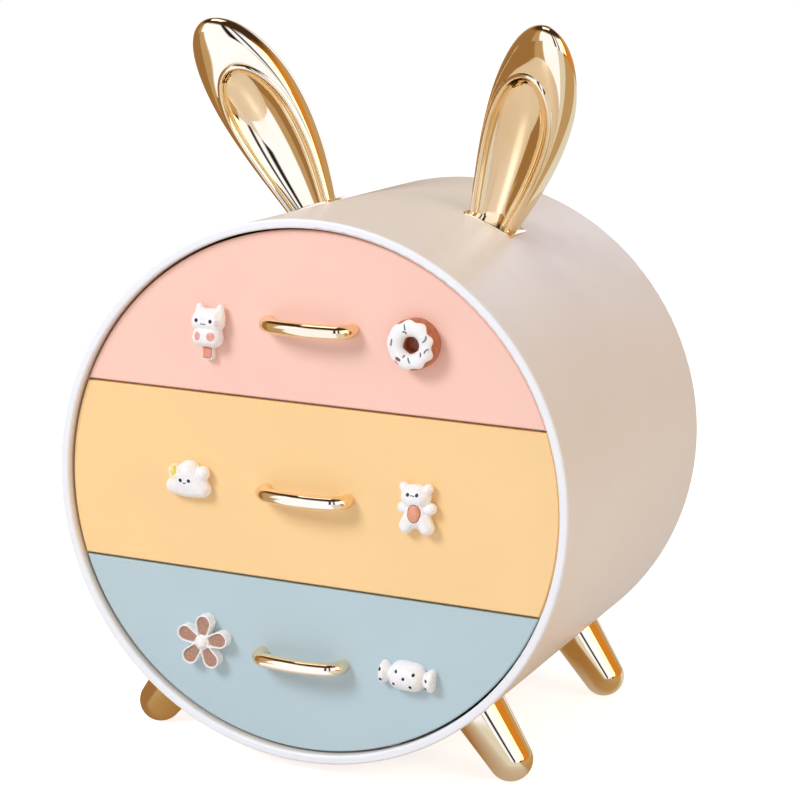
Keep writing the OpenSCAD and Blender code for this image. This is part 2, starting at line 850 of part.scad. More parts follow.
// The right ear. The left one is its mirror image with its own lean and turn.
module ear(lean, turn) {
    difference() {
        union() {
            translate([drum_r * sin(ear_foot_a), ear_y, drum_r * cos(ear_foot_a)])
                rotate([0, lean, 0]) ear_loft(turn);
            intersection() {
                drum_cylinder(drum_r + ear_plate_t, ear_y - ear_plate[1], ear_y + ear_plate[1]);
                radially(ear_foot_a, ear_y) translate([-ear_plate[0] / 2, -ear_plate[1] / 2, drum_r - 3])
                    linear_extrude(6) round_rect(ear_plate[0], ear_plate[1], 1.5);
            }
        }
        drum_cylinder(drum_r, 0, drum_depth);
        radially(ear_foot_a, ear_screw_y) cylinder(r = bore_r, h = drum_r + ear_bore);
    }
}

module left_ear() {
    in_drum() color(gold) mirror([1, 0, 0]) ear(ear_lean_left, ear_turn_left);
}

module right_ear() {
    in_drum() color(gold) ear(ear_lean_right, ear_turn_right);
}

module ear_screws() {
    in_drum() color(steel)
        for (side = [-1, 1])
            radially(side * ear_foot_a, ear_screw_y)
                translate([0, 0, inner_r]) countersunk_screw(drum_wall + ear_bore - 1);
}

// ---- legs ----------------------------------------------------------------------------------

// A tapered peg with a round end, seated on the drum and cut flat where it stands.
module leg(side, y) {
    root = drum_r - 4;
    root_r = leg_end_r / cos(leg_taper) + (leg_reach - root) * tan(leg_taper);
    difference() {
        radially(180 - side * leg_a, y) rotate_extrude() intersection() {
            union() {
                translate([0, leg_reach]) circle(leg_end_r);
                polygon([[0, root], [root_r, root],
                    [leg_end_r * cos(leg_taper), leg_reach + leg_end_r * sin(leg_taper)],
                    [0, leg_reach + leg_end_r * sin(leg_taper)]]);
            }
            square([2 * drum_r, 2 * drum_r]);
        }
        drum_cylinder(drum_r, y - 30, y + 30);
        radially(180 - side * leg_a, y) cylinder(r = bore_r, h = drum_r + leg_bore);
        translate([-drum_d, y - 30, -axis_z - 10]) cube([2 * drum_d, 60, 10]);
    }
}

module front_left_leg() {
    in_drum() color(gold) leg(-1, leg_front_y);
}

module front_right_leg() {
    in_drum() color(gold) leg(1, leg_front_y);
}

module rear_left_leg() {
    in_drum() color(gold) leg(-1, leg_rear_y);
}

module rear_right_leg() {
    in_drum() color(gold) leg(1, leg_rear_y);
}

module leg_screws() {
    in_drum() color(steel)
        for (side = [-1, 1], y = [leg_front_y, leg_rear_y])
            radially(180 + side * leg_a, y)
                translate([0, 0, inner_r]) countersunk_screw(drum_wall + leg_bore - 1);
}

drum_shell();
back_cover();
back_cover_screws();
upper_shelf();
lower_shelf();
top_tray();
middle_tray();
bottom_tray();
top_front();
middle_front();
bottom_front();
top_handle();
middle_handle();
bottom_handle();
top_handle_screws();
middle_handle_screws();
bottom_handle_screws();
cat_charm();
donut_charm();
cloud_charm();
bear_charm();
flower_charm();
candy_charm();
left_ear();
right_ear();
ear_screws();
front_left_leg();
front_right_leg();
rear_left_leg();
rear_right_leg();
leg_screws();
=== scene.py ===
import math

import bmesh
import bpy
from mathutils import Matrix, Vector
from mathutils.bvhtree import BVHTree


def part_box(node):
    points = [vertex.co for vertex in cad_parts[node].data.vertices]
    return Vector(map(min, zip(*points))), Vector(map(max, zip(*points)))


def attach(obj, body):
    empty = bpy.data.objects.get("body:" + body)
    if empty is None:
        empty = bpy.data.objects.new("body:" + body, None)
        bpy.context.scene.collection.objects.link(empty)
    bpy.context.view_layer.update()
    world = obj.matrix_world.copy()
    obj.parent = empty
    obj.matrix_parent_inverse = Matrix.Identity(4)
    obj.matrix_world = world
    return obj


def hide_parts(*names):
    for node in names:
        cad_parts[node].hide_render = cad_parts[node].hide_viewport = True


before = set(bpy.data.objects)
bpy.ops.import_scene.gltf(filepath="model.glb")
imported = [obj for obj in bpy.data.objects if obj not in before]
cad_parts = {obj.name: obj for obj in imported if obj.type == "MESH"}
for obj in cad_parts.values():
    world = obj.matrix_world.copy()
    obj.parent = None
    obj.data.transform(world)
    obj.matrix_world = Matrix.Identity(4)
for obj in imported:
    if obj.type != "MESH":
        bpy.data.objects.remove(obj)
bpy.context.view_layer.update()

# Shapes are drawn in millimetres about the middle of the drum's front rim, with x to the right, y
# towards the back and z up, and are carried into the CAD frame when they are finished.
MM = 0.001
shell_low, shell_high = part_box("drum_shell")
FROM_RIM = Matrix.Translation((0, shell_low.y, (shell_low.z + shell_high.z) / 2)) @ Matrix.Scale(MM, 4)
FLOOR_Z = -(shell_low.z + shell_high.z) / 2 / MM

DRUM_R = 90.0
FACE_Y = round((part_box("top_front")[0].y - shell_low.y) / MM, 2)  # how far the fronts stand behind the rim


def middle_of(node):
    """The middle of a CAD piece's box, in the script's own millimetres."""
    low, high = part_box(node)
    return tuple(round(value, 2) for value in FROM_RIM.inverted() @ ((low + high) / 2))


# ---- finishes -------------------------------------------------------------------------------

class Finish:
    """A material whose nodes are added one by one. Patterns read the piece's own coordinates, in metres."""

    def __init__(self, name):
        self.material = bpy.data.materials.new(name)
        self.material.use_nodes = True
        self.nodes = self.material.node_tree.nodes
        self.links = self.material.node_tree.links
        self.shader = self.nodes["Principled BSDF"]
        self.place = self.nodes.new("ShaderNodeTexCoord").outputs["Object"]

    def join(self, source, target):
        self.links.new(source, target)

    def noise(self, scale, detail=3.0, roughness=0.5):
        """Cloudy noise of a given number of cells to the metre."""
        node = self.nodes.new("ShaderNodeTexNoise")
        node.inputs["Scale"].default_value = scale
        node.inputs["Detail"].default_value = detail
        node.inputs["Roughness"].default_value = roughness
        self.join(self.place, node.inputs["Vector"])
        return node.outputs["Fac"]

    def ranged(self, value, low, high, out_low, out_high):
        """The value, spread from the range low to high onto out_low to out_high."""
        node = self.nodes.new("ShaderNodeMapRange")
        limits = {"From Min": low, "From Max": high, "To Min": out_low, "To Max": out_high}
        for name, number in limits.items():
            node.inputs[name].default_value = number
        self.join(value, node.inputs["Value"])
        return node.outputs["Result"]

    def mixed(self, factor, first, second):
        """Colour first where factor is 0 and second where it is 1."""
        node = self.nodes.new("ShaderNodeMix")
        node.data_type = "RGBA"
        self.join(factor, node.inputs[0])
        for colour, socket in ((first, node.inputs[6]), (second, node.inputs[7])):
            if isinstance(colour, tuple):
                socket.default_value = colour
            else:
                self.join(colour, socket)
        return node.outputs[2]

    def bumped(self, height, depth, strength=1.0, under=None):
        """Relief that is depth metres deep."""
        node = self.nodes.new("ShaderNodeBump")
        node.inputs["Strength"].default_value = strength
        node.inputs["Distance"].default_value = depth
        self.join(height, node.inputs["Height"])
        if under:
            self.join(under, node.inputs["Normal"])
        return node.outputs["Normal"]


def linear(red, green, blue):
    """A colour as it is seen, from 0 to 255, as the shader's own numbers."""
    def one(value):
        value /= 255
        return value / 12.92 if value <= 0.04045 else ((value + 0.055) / 1.055) ** 2.4
    return (one(red), one(green), one(blue), 1.0)


def tinted(colour, share):
    return tuple(channel * share for channel in colour[:3]) + (1.0,)


RELIEF = 0.00002
RIM_BAND = 0.0011  # how far the white of the drum's rim reaches back
RIM_BLUR = 0.0001


def behind_rim(finish):
    """0 on the drum's rim and 1 behind it."""
    split = finish.nodes.new("ShaderNodeSeparateXYZ")
    finish.join(finish.place, split.inputs["Vector"])
    edge = shell_low.y + RIM_BAND
    return finish.ranged(split.outputs["Y"], edge - RIM_BLUR, edge + RIM_BLUR, 0, 1)


def painted(name, colour, roughness, speck=0.03, grain=9000, rim_colour=None):
    """A sprayed or moulded surface: faint clouds of tone, fine grain and a slightly uneven sheen."""
    finish = Finish(name)
    clouds = finish.ranged(finish.noise(22, detail=2), 0.35, 0.65, 0, 1)
    paint = finish.mixed(clouds, tinted(colour, 1 - speck), colour)
    if rim_colour:
        paint = finish.mixed(behind_rim(finish), rim_colour, paint)
    finish.join(paint, finish.shader.inputs["Base Color"])
    uneven = finish.noise(150, detail=4, roughness=0.6)
    sheen = finish.ranged(uneven, 0.3, 0.7, roughness - 0.05, roughness + 0.05)
    finish.join(sheen, finish.shader.inputs["Roughness"])
    ripple = finish.bumped(finish.noise(260, detail=2), RELIEF * 1.5, strength=0.35)
    grained = finish.bumped(finish.noise(grain, detail=2), RELIEF, strength=0.5, under=ripple)
    finish.join(grained, finish.shader.inputs["Normal"])
    return finish.material


def plated(name, bright, deep, roughness):
    """Vacuum-plated gold: a mirror with faint waves in its skin and a tone that drifts a little."""
    finish = Finish(name)
    finish.shader.inputs["Metallic"].default_value = 1.0
    drift = finish.ranged(finish.noise(35, detail=2), 0.3, 0.7, 0, 1)
    finish.join(finish.mixed(drift, deep, bright), finish.shader.inputs["Base Color"])
    uneven = finish.noise(420, detail=5, roughness=0.7)
    haze = finish.ranged(uneven, 0.35, 0.75, roughness, roughness + 0.06)
    finish.join(haze, finish.shader.inputs["Roughness"])
    waves = finish.bumped(finish.noise(70, detail=1), 0.00005, strength=0.25)
    finish.join(waves, finish.shader.inputs["Normal"])
    return finish.material


def glazed(name, colour, roughness=0.28, second=None, mottle=900, coat=0.35):
    """Cast or hand-painted resin under a thin clear glaze."""
    finish = Finish(name)
    mottled = finish.ranged(finish.noise(mottle, detail=3, roughness=0.6), 0.35, 0.7, 0, 1)
    shade = finish.mixed(mottled, second or tinted(colour, 0.93), colour)
    finish.join(shade, finish.shader.inputs["Base Color"])
    uneven = finish.noise(1300, detail=2)
    sheen = finish.ranged(uneven, 0.3, 0.7, roughness - 0.06, roughness + 0.08)
    finish.join(sheen, finish.shader.inputs["Roughness"])
    dimples = finish.bumped(finish.noise(1500, detail=2), 0.00003, strength=0.5)
    finish.join(dimples, finish.shader.inputs["Normal"])
    finish.shader.inputs["Coat Weight"].default_value = coat
    finish.shader.inputs["Coat Roughness"].default_value = 0.1
    return finish.material


CREAM = linear(240, 230, 221)
SHELL_CREAM = painted("shell_cream", CREAM, 0.38, speck=0.012, rim_colour=linear(242, 245, 250))
COVER_CREAM = painted("cover_cream", CREAM, 0.4, speck=0.012)
FRONT_PINK = painted("front_pink", linear(255, 208, 190), 0.5)
FRONT_YELLOW = painted("front_yellow", linear(254, 214, 150), 0.5)
FRONT_BLUE = painted("front_blue", linear(186, 208, 214), 0.5)
TRAY_PINK = painted("tray_pink", linear(246, 196, 180), 0.6, grain=5000)
TRAY_YELLOW = painted("tray_yellow", linear(244, 202, 140), 0.6, grain=5000)
TRAY_BLUE = painted("tray_blue", linear(172, 195, 202), 0.6, grain=5000)
SHELF_WHITE = painted("shelf_white", linear(226, 223, 220), 0.55, grain=5000)
EAR_GOLD = plated("ear_gold", linear(250, 234, 202), linear(245, 222, 180), 0.03)
HANDLE_GOLD = plated("handle_gold", linear(250, 232, 200), linear(244, 220, 178), 0.05)
SCREW_STEEL = plated("screw_steel", linear(190, 192, 196), linear(168, 170, 174), 0.28)
CREAM_GLAZE = glazed("cream_glaze", linear(251, 250, 250), second=linear(246, 245, 245))
INK = glazed("ink_black", linear(14, 9, 10), 0.3, coat=0.1)
PAD_PINK = glazed("pad_pink", linear(243, 176, 160), 0.4, linear(232, 156, 140))
TAUPE = glazed("mouth_taupe", linear(70, 52, 54), 0.35)
CHEEK_PINK = glazed("cheek_pink", linear(240, 222, 220), 0.4, linear(236, 210, 208))
STICK_ROSE = glazed("stick_rose", linear(250, 164, 132), 0.45, linear(226, 136, 106))
DOUGH = glazed("dough_brown", linear(200, 118, 70), 0.5, linear(166, 88, 48), 700)
TEAL = glazed("sprinkle_teal", linear(96, 140, 134), 0.4)
PLUM = glazed("sprinkle_plum", linear(120, 72, 72), 0.4)
BLOSSOM = glazed("blossom_yellow", linear(240, 225, 118), 0.4, linear(230, 210, 100))
BLOSSOM_EDGE = glazed("blossom_edge", linear(255, 244, 206), 0.4)
BELLY = glazed("belly_salmon", linear(236, 164, 130), 0.42, linear(222, 146, 112))
BELLY_RIM = glazed("belly_rim", linear(122, 78, 62), 0.45)
CLAY = glazed("petal_clay", linear(192, 150, 122), 0.6, linear(160, 112, 86), 1400)


# ---- making pieces --------------------------------------------------------------------------

def piece(name, bm, body, material, replaced, sharp=40, weld=0.0005):
    """Finishes a shape as a closed, smooth piece that rides on a body and stands for a CAD node."""
    bmesh.ops.remove_doubles(bm, verts=bm.verts, dist=weld)
    bmesh.ops.recalc_face_normals(bm, faces=bm.faces)
    bmesh.ops.transform(bm, matrix=FROM_RIM, verts=bm.verts)
    mesh = bpy.data.meshes.new(name)
    bm.to_mesh(mesh)
    bm.free()
    for face in mesh.polygons:
        face.use_smooth = True
    mesh.set_sharp_from_angle(angle=math.radians(sharp))
    obj = bpy.data.objects.new(name, mesh)
    bpy.context.scene.collection.objects.link(obj)
    mesh.materials.append(material)
    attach(obj, body)
    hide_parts(replaced)


def placed(bm, matrix, verts=None):
    bmesh.ops.transform(bm, matrix=matrix, verts=verts or bm.verts)


def shifted(x, y, z):
    return Matrix.Translation((x, y, z))


def turned(degrees, axis):
    return Matrix.Rotation(math.radians(degrees), 4, axis)


def sin_deg(angle):
    return math.sin(math.radians(angle))


def cos_deg(angle):
    return math.cos(math.radians(angle))


def between(first, second, share):
    return first + (second - first) * share


def add_ball(bm, at, radius, segments=32):
    matrix = shifted(*at) @ Matrix.Diagonal((radius, radius, radius, 1))
    bmesh.ops.create_uvsphere(bm, u_segments=segments, v_segments=segments // 2, radius=1, matrix=matrix)


def line(bm, points, start=None):
    """Draws a line of edges through points, from a vertex where one is given."""
    last = start
    for point in points:
        corner = bm.verts.new(point)
        if last:
            bm.edges.new((last, corner))
        last = corner


def spun(bm, axis, steps):
    """Turns all that bm holds once round an axis, and closes the seam and the poles."""
    bmesh.ops.spin(bm, geom=bm.verts[:] + bm.edges[:], cent=(0, 0, 0), axis=axis, dvec=(0, 0, 0),
                   angle=math.radians(360), steps=steps, use_merge=True, use_duplicate=False)
    bmesh.ops.remove_doubles(bm, verts=bm.verts, dist=0.001)


def swept(bm, geometry, centre, axis, degrees, steps):
    """Carries a vertex or a loop of edges round an axis and returns what it ends as."""
    made = bmesh.ops.spin(bm, geom=geometry, cent=centre, axis=axis, dvec=(0, 0, 0),
                          angle=math.radians(degrees), steps=steps, use_merge=False, use_duplicate=False)
    return [item for item in made["geom_last"] if isinstance(item, type(geometry[0]))]


def drawn_out(bm, edges, shift, steps):
    """Carries a loop of edges along a straight line and returns the edges where it ends."""
    for _ in range(steps):
        result = bmesh.ops.extrude_edge_only(bm, edges=edges)["geom"]
        verts = [item for item in result if isinstance(item, bmesh.types.BMVert)]
        edges = [item for item in result if isinstance(item, bmesh.types.BMEdge)]
        edges = [edge for edge in edges if all(vert in verts for vert in edge.verts)]
        bmesh.ops.translate(bm, verts=verts, vec=Vector(shift) / steps)
    return edges


def capped(bm):
    bmesh.ops.holes_fill(bm, edges=[edge for edge in bm.edges if edge.is_boundary], sides=0)


def cut_flat(bm, point, normal):
    """Cuts off what lies on the side that the normal points to, and closes the cut."""
    geometry = bm.verts[:] + bm.edges[:] + bm.faces[:]
    cut = bmesh.ops.bisect_plane(bm, geom=geometry, dist=1e-5, plane_co=point, plane_no=normal,
                                 clear_outer=True)["geom_cut"]
    bmesh.ops.holes_fill(bm, edges=[item for item in cut if isinstance(item, bmesh.types.BMEdge)], sides=0)


def melted(bm, voxel, rounds):
    """Runs the shapes in bm together into one soft skin, as cast resin does."""
    mesh = bpy.data.meshes.new("melting")
    bm.to_mesh(mesh)
    bm.free()
    obj = bpy.data.objects.new("melting", mesh)
    bpy.context.scene.collection.objects.link(obj)
    skin = obj.modifiers.new("skin", "REMESH")
    skin.mode = "VOXEL"
    skin.voxel_size = voxel
    soft = obj.modifiers.new("soft", "SMOOTH")
    soft.factor = 0.5
    soft.iterations = rounds
    view = bpy.context.evaluated_depsgraph_get()
    result = bmesh.new()
    result.from_mesh(obj.evaluated_get(view).to_mesh())
    bpy.data.objects.remove(obj)
    bpy.data.meshes.remove(mesh)
    return result


# ---- drum, drawers and small metal ------------------------------------------------------------

CAD_FINISH = {
    "drum_shell": SHELL_CREAM, "back_cover": COVER_CREAM,
    "upper_shelf": SHELF_WHITE, "lower_shelf": SHELF_WHITE,
    "top_tray": TRAY_PINK, "middle_tray": TRAY_YELLOW, "bottom_tray": TRAY_BLUE,
    "top_front": FRONT_PINK, "middle_front": FRONT_YELLOW, "bottom_front": FRONT_BLUE,
}
for node_name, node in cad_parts.items():
    if node_name.endswith("_screws"):
        CAD_FINISH[node_name] = SCREW_STEEL
    if node_name in CAD_FINISH:
        node.data.materials.clear()
        node.data.materials.append(CAD_FINISH[node_name])


# ---- handles --------------------------------------------------------------------------------

BAR_R = 2.4
HANDLE_FOOT = 14.5  # from the handle's middle to the middle of a foot
HANDLE_BEND = 5.5  # radius of a corner
HANDLE_BOW = 14.0  # how far each half of the bow turns, in degrees
HANDLE_REACH = 10.5  # how far the bar stands out of the front
CORNER_STEPS, BOW_STEPS = 18, 24


def handle(row):
    """A bow pull: a round bar carried out of the front, round two corners and along a shallow bow."""
    name = row + "_handle"
    corner = 90 - HANDLE_BOW
    bow_half = HANDLE_FOOT - HANDLE_BEND + HANDLE_BEND * cos_deg(corner)
    bow_r = bow_half / sin_deg(HANDLE_BOW)
    corner_out = HANDLE_BEND * sin_deg(corner)
    stub = HANDLE_REACH - BAR_R - corner_out - bow_r * (1 - cos_deg(HANDLE_BOW))
    z = middle_of(name)[2]
    y = FACE_Y - stub
    bow_y = y - corner_out + bow_r * cos_deg(HANDLE_BOW)
    clockwise = (0, 0, -1)
    bm = bmesh.new()
    bmesh.ops.create_circle(bm, radius=BAR_R, segments=40,
                            matrix=shifted(HANDLE_FOOT, FACE_Y, z) @ turned(90, "X"))
    loop = drawn_out(bm, bm.edges[:], (0, -stub, 0), 2)
    loop = swept(bm, loop, (HANDLE_FOOT - HANDLE_BEND, y, z), clockwise, corner, CORNER_STEPS)
    loop = swept(bm, loop, (0, bow_y, z), clockwise, 2 * HANDLE_BOW, BOW_STEPS)
    loop = swept(bm, loop, (HANDLE_BEND - HANDLE_FOOT, y, z), clockwise, corner, CORNER_STEPS)
    drawn_out(bm, loop, (0, stub, 0), 2)
    capped(bm)
    piece(name + "_bar", bm, row + "_drawer", HANDLE_GOLD, name)


for row_name in ("top", "middle", "bottom"):
    handle(row_name)


# ---- ears -----------------------------------------------------------------------------------
# The skin is a grid that is laid round the ear. Its levels run from the foot (q = 0) to the tip
# (q = 1), and its steps from the middle of the back, round the edge and over the bead, to the
# middle of the scoop.

EAR_FOOT_A = 21.9  # round the drum from its top to the middle of an ear's foot, in degrees
EAR_Y = 77.4
EAR_LEN = 76.3
EAR_HALF = 15.4
EAR_BEND = 36.7  # how far the tip leans forward from the foot, in degrees
EAR_ROOT = -1.6
EAR_MID = 43.0  # how far up the widest part is
EAR_BASE_HALF = 8.1
EAR_FRONT = (4.2, 5.9)  # how far the front and the back stand out, at the foot and at the widest part
EAR_BACK = (5.5, 8.6)
BEAD_W = 2.2
BEAD_RISE = 0.9
SCOOP_MID = 35.3
SCOOP_TOP = 58.5
SCOOP_BASE_HALF = 6.8
SCOOP_HALF = 11.7
SCOOP_FOOT_DEPTH = 3.4
SCOOP_DEPTH = 5.4
SCOOP_END = 50.0
SCOOP_ROUNDNESS = 0.62
BACK_STEPS, FLANK_STEPS, BEAD_STEPS, DISH_STEPS = 16, 12, 12, 20
EAR_STEPS = BACK_STEPS + FLANK_STEPS + BEAD_STEPS + DISH_STEPS
EAR_LEVELS = 96
PLATE_LENGTH = 18.8
PLATE_WIDTH = 17.0
PLATE_THICK = 0.8
PLATE_SINK = 0.4  # how deep the plate sits in the drum's wall
PLATE_CORNER = 1.5
PLATE_EDGE = 0.3
PLATE_CUTS = 12


def swell(foot, widest, q):
    """A half width: it grows from the foot to the widest part and closes at the tip."""
    if q < 0.5:
        return foot + (widest - foot) * sin_deg(180 * q)
    return widest * cos_deg(180 * (q - 0.5))


def along(middle, top, q):
    """How far up a level lies, where the middle is the height of the widest part."""
    if q < 0.5:
        return EAR_ROOT + (middle - EAR_ROOT) * 2 * q
    return middle + (top - middle) * sin_deg(180 * (q - 0.5))


def grown(q):
    """How far a level is on the way from the foot to the widest part."""
    return sin_deg(180 * min(q, 0.5))


def scoop_edge(q, wider):
    """Half the width and the height of the scoop's outline, drawn wider by a margin."""
    return (swell(SCOOP_BASE_HALF + wider, SCOOP_HALF + wider, q), along(SCOOP_MID, SCOOP_TOP + wider, q))


def dish(q, share, front):
    """Half of an egg above the scoop's widest part, and a trough that narrows below it."""
    lip_x, lip_z = scoop_edge(q, -BEAD_W / 2)
    x = lip_x * cos_deg(90 * share)
    z = between(lip_z, along(SCOOP_MID, SCOOP_END, q), (1 - cos_deg(90 * share)) ** 2)
    across, upwards = cos_deg(90 * share), 0.0
    if q >= 0.5:
        across = x / (SCOOP_HALF - BEAD_W / 2)
        upwards = (z - SCOOP_MID) / (SCOOP_TOP - BEAD_W / 2 - SCOOP_MID)
    inside = max(0.0, 1 - across ** 2 - upwards ** 2)
    return x, front - between(SCOOP_FOOT_DEPTH, SCOOP_DEPTH, grown(q)) * inside ** SCOOP_ROUNDNESS, z


def ear_skin(q, step):
    """A point of the skin as (across, out to the front, along)."""
    edge_x, edge_z = swell(EAR_BASE_HALF, EAR_HALF, q), along(EAR_MID, EAR_LEN, q)
    front = between(EAR_FRONT[0], EAR_FRONT[1], grown(q))
    if step <= BACK_STEPS:
        a = 90 * step / BACK_STEPS
        return edge_x * sin_deg(a), -swell(EAR_BACK[0], EAR_BACK[1], q) * cos_deg(a), edge_z
    step -= BACK_STEPS
    if step <= FLANK_STEPS:
        a = 90 * step / FLANK_STEPS
        lip_x, lip_z = scoop_edge(q, BEAD_W / 2)
        inward = 1 - cos_deg(a)
        return between(edge_x, lip_x, inward), front * sin_deg(a), between(edge_z, lip_z, inward)
    step -= FLANK_STEPS
    if step <= BEAD_STEPS:
        share = step / BEAD_STEPS
        bead_x, bead_z = scoop_edge(q, BEAD_W / 2 * (1 - 2 * share))
        return bead_x, front + BEAD_RISE * sin_deg(180 * share), bead_z
    return dish(q, (step - BEAD_STEPS) / DISH_STEPS, front)


def bent(across, out, length, turn):
    """Turns a skin point inwards and lays it along the forward-bending middle line."""
    x = across * cos_deg(turn) - out * sin_deg(turn)
    front = across * sin_deg(turn) + out * cos_deg(turn)
    radius = EAR_LEN / math.radians(EAR_BEND)
    a = length / EAR_LEN * EAR_BEND
    return x, -(radius * (1 - cos_deg(a)) + front * cos_deg(a)), radius * sin_deg(a) - front * sin_deg(a)


def ear(name, side, lean, turn):
    """Side is 1 for the right ear and -1 for the left one."""
    bm = bmesh.new()
    bmesh.ops.create_grid(bm, x_segments=2 * EAR_STEPS, y_segments=EAR_LEVELS, size=1)
    for vert in bm.verts:
        step = round((1 - abs(vert.co.x)) * EAR_STEPS)
        across, out, length = ear_skin((vert.co.y + 1) / 2, step)
        vert.co = bent(math.copysign(across, vert.co.x), out, length, turn)
    bmesh.ops.remove_doubles(bm, verts=bm.verts, dist=0.002)
    bmesh.ops.dissolve_degenerate(bm, edges=bm.edges, dist=0.001)
    capped(bm)
    foot = shifted(DRUM_R * sin_deg(EAR_FOOT_A), EAR_Y, DRUM_R * cos_deg(EAR_FOOT_A))
    placed(bm, Matrix.Diagonal((side, 1, 1, 1)) @ foot @ turned(lean, "Y"))
    piece(name + "_shell", bm, "casing", EAR_GOLD, name, sharp=50)


def ear_foot(name, side):
    """The thin plate under an ear, with rounded corners, bent round the drum."""
    bm = bmesh.new()
    size = Matrix.Diagonal((PLATE_LENGTH, PLATE_WIDTH, PLATE_THICK + PLATE_SINK, 1))
    bmesh.ops.create_cube(bm, size=1, matrix=size)
    upright = [edge for edge in bm.edges if edge.verts[0].co.z * edge.verts[1].co.z < 0]
    bmesh.ops.bevel(bm, geom=upright, offset=PLATE_CORNER, segments=5, profile=0.5, affect="EDGES",
                    material=-1)
    rim = [edge for edge in bm.edges if all(vert.co.z > 0 for vert in edge.verts)]
    bmesh.ops.bevel(bm, geom=rim, offset=PLATE_EDGE, segments=3, profile=0.5, affect="EDGES", material=-1)
    for cut in range(1, PLATE_CUTS):
        bmesh.ops.bisect_plane(bm, geom=bm.verts[:] + bm.edges[:] + bm.faces[:], dist=1e-5,
                               plane_co=(PLATE_LENGTH * (cut / PLATE_CUTS - 0.5), 0, 0), plane_no=(1, 0, 0))
    for vert in bm.verts:
        radius = DRUM_R + (PLATE_THICK - PLATE_SINK) / 2 + vert.co.z
        around = vert.co.x / DRUM_R
        vert.co = (radius * math.sin(around), vert.co.y, radius * math.cos(around))
    placed(bm, Matrix.Diagonal((side, 1, 1, 1)) @ shifted(0, EAR_Y, 0) @ turned(EAR_FOOT_A, "Y"))
    piece(name + "_foot", bm, "casing", EAR_GOLD, name, sharp=30)


for ear_name, ear_side, ear_lean, ear_turn in (("right_ear", 1, 20.2, 9), ("left_ear", -1, 27.3, 0)):
    ear(ear_name, ear_side, ear_lean, ear_turn)
    ear_foot(ear_name, ear_side)


# ---- legs -----------------------------------------------------------------------------------

LEG_A = 36.8  # from straight down to a leg, in degrees
LEG_REACH = 108.5  # from the drum's axis to the middle of the round end
LEG_END_R = 7.45
LEG_TAPER = 5.4  # in degrees
LEG_ROOT = 88.2


def leg(end, side):
    """A tapered peg with a round end, turned from one profile and cut flat where it stands."""
    name = end + ("_right_leg" if side > 0 else "_left_leg")
    bm = bmesh.new()
    tip = bm.verts.new((0, 0, LEG_REACH + LEG_END_R))
    shoulder = swept(bm, [tip], (0, 0, LEG_REACH), (0, 1, 0), 90 - LEG_TAPER, 24)[0]
    root_r = LEG_END_R / cos_deg(LEG_TAPER) + (LEG_REACH - LEG_ROOT) * math.tan(math.radians(LEG_TAPER))
    line(bm, [(root_r, 0, LEG_ROOT), (0, 0, LEG_ROOT)], shoulder)
    spun(bm, (0, 0, 1), 72)
    placed(bm, shifted(0, middle_of(name)[1], 0) @ turned(180 - side * LEG_A, "Y"))
    cut_flat(bm, (0, 0, FLOOR_Z), (0, 0, -1))
    piece(name + "_peg", bm, "casing", EAR_GOLD, name)


for leg_end in ("front", "rear"):
    for leg_side in (-1, 1):
        leg(leg_end, leg_side)


# ---- charms ---------------------------------------------------------------------------------
# A charm is drawn about its own middle on the drawer's front, with x to the right, z up and the
# viewer towards -y.

CHARM_PLACE = {"cat": ("top", -35.3, 50.9), "donut": ("top", 36.7, 53.8),
               "cloud": ("middle", -42.0, -0.3), "bear": ("middle", 39.2, 0.3),
               "flower": ("bottom", -35.2, -53.9), "candy": ("bottom", 37.8, -55.1)}
AHEAD_Y = -40.0  # well in front of every charm
CREST_Y = -2.0  # about as far out as the skin of a charm
MARK_ROOT = 0.25  # how deep the back of a painted mark sits in the skin


def string_of_balls(bm, balls, depth, steps=4):
    """Balls (x, z, radius) in a row, with more of them laid between each and the next."""
    for first, last in zip(balls, balls[1:]):
        for step in range(steps + 1):
            x, z, radius = (between(one, other, step / steps) for one, other in zip(first, last))
            add_ball(bm, (x, -depth, z), radius, segments=24)


